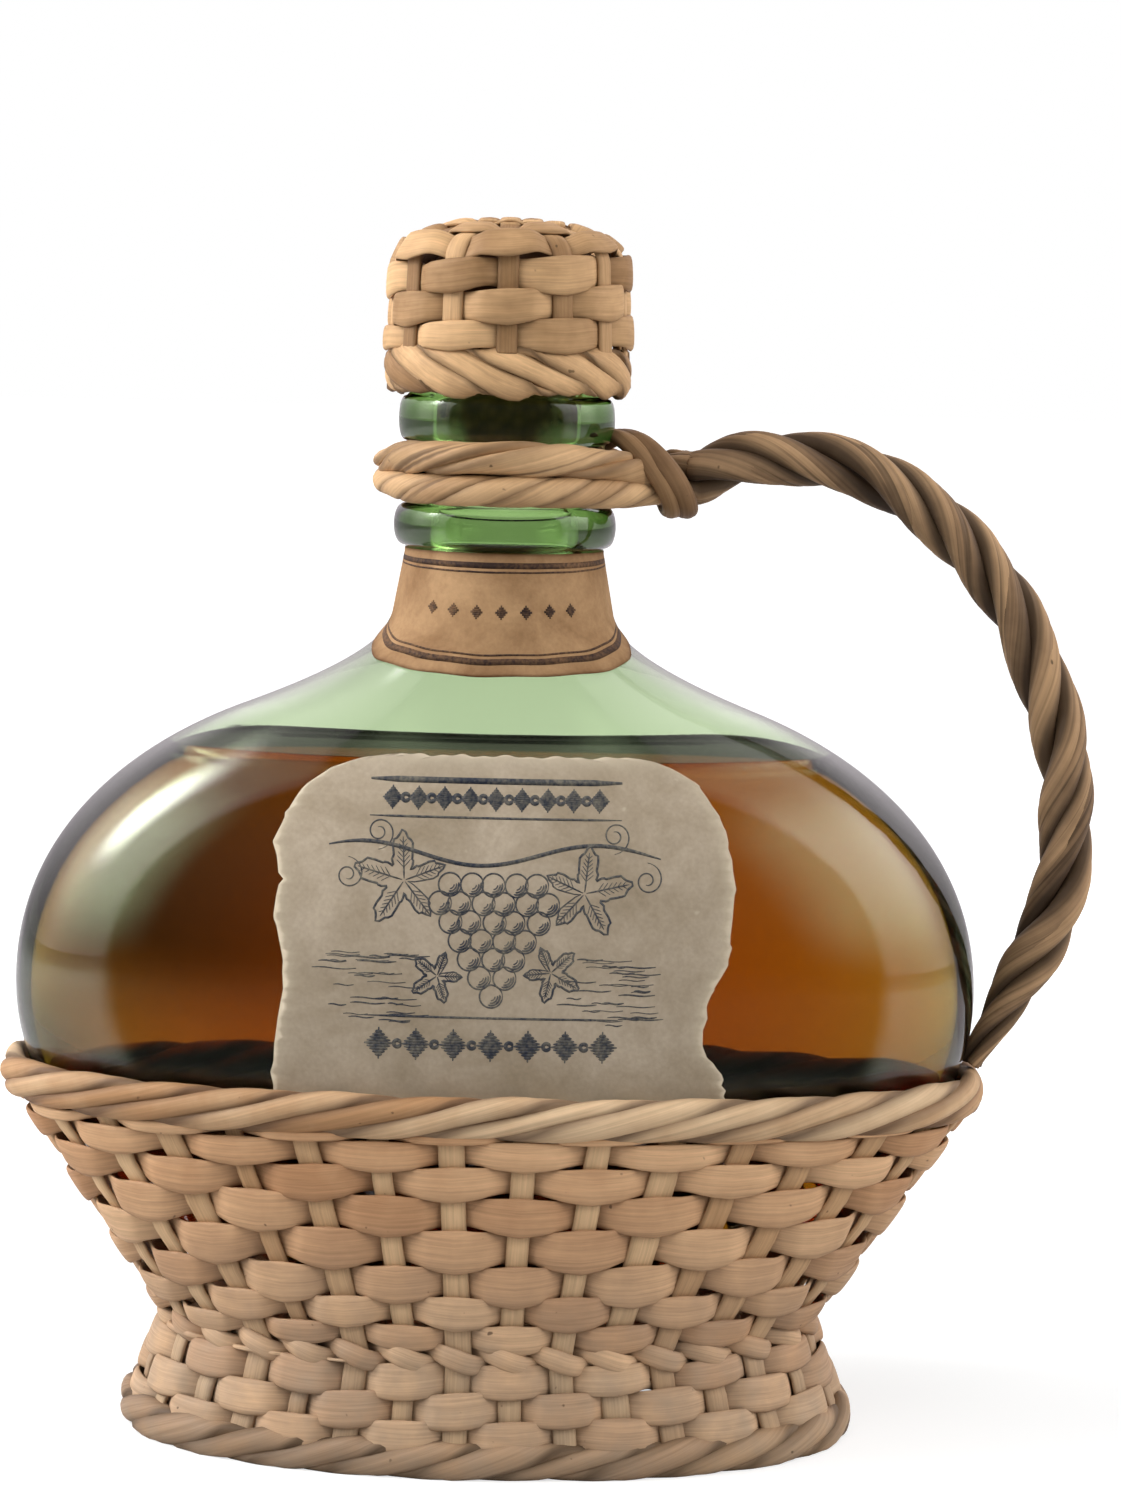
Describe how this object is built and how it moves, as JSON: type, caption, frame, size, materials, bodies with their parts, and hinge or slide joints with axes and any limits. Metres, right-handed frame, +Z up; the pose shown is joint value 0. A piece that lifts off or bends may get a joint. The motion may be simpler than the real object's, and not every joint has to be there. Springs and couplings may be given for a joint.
{
  "type": "wicker flask",
  "caption": "Oval green glass wine flask in a woven willow basket with a flared foot, twisted rush handle, rush collar, paper labels and a cork with a woven cap.",
  "frame": {"origin": "on the floor under the middle of the part's bounding box, which includes the handle", "axes": "+Z up, +X towards the handle, -Y towards the labelled front"},
  "size_m": [0.171, 0.0748, 0.1903],
  "materials": {
    "green_glass": "clear moulded bottle glass, pale green, smooth",
    "amber_wine": "amber-brown wine, clear",
    "parchment": "aged parchment paper, matt",
    "brown_paper": "tan label paper, matt",
    "pale_willow": "split willow skein, peeled, dry",
    "cream_willow": "split willow skein, pale, dry",
    "grey_willow": "split willow skein, weathered",
    "gold_rush": "twisted rush, golden tan",
    "brown_rush": "twisted rush, brown",
    "cap_willow": "split willow skein, honey tan",
    "natural_cork": "natural cork"
  },
  "bodies": {
    "flask": {"stake_01": "pale_willow", "stake_02": "pale_willow", "stake_03": "pale_willow", "stake_04": "pale_willow", "stake_05": "pale_willow", "stake_06": "pale_willow", "stake_07": "pale_willow", "stake_08": "pale_willow", "stake_09": "pale_willow", "stake_10": "pale_willow", "stake_11": "pale_willow", "stake_12": "pale_willow", "stake_13": "pale_willow", "stake_14": "pale_willow", "stake_15": "pale_willow", "stake_16": "pale_willow", "stake_17": "pale_willow", "stake_18": "pale_willow", "stake_19": "pale_willow", "stake_20": "pale_willow", "stake_21": "pale_willow", "stake_22": "pale_willow", "stake_23": "pale_willow", "stake_24": "pale_willow", "stake_25": "pale_willow", "stake_26": "pale_willow", "stake_27": "pale_willow", "stake_28": "pale_willow", "stake_29": "pale_willow", "stake_30": "pale_willow", "stake_31": "pale_willow", "stake_32": "pale_willow", "stake_33": "pale_willow", "body_weaver": "pale_willow", "waist_strand_1": "pale_willow", "waist_strand_2": "pale_willow", "foot_weaver": "grey_willow", "foot_strand_1": "grey_willow", "foot_strand_2": "grey_willow", "base_mat": "grey_willow", "rim_strand_1": "cream_willow", "rim_strand_2": "cream_willow", "collar_lower": "gold_rush", "collar_upper": "gold_rush", "handle_tie": "brown_rush", "handle_strand_1": "brown_rush", "handle_strand_2": "brown_rush", "handle_strand_3": "brown_rush", "glass_flask": "green_glass", "wine": "amber_wine", "front_label": "parchment", "neck_label": "brown_paper"},
    "stopper": {"cork": "natural_cork", "cap_stakes": "cap_willow", "cap_weaver": "cap_willow", "cap_top_weaver": "cap_willow", "cap_border_1": "cap_willow", "cap_border_2": "cap_willow"}
  },
  "joints": [
    {"name": "stopper_pull", "type": "slide", "parent": "flask", "child": "stopper", "axis": [0, 0, 1], "range_m": [0, 0.05]}
  ]
}
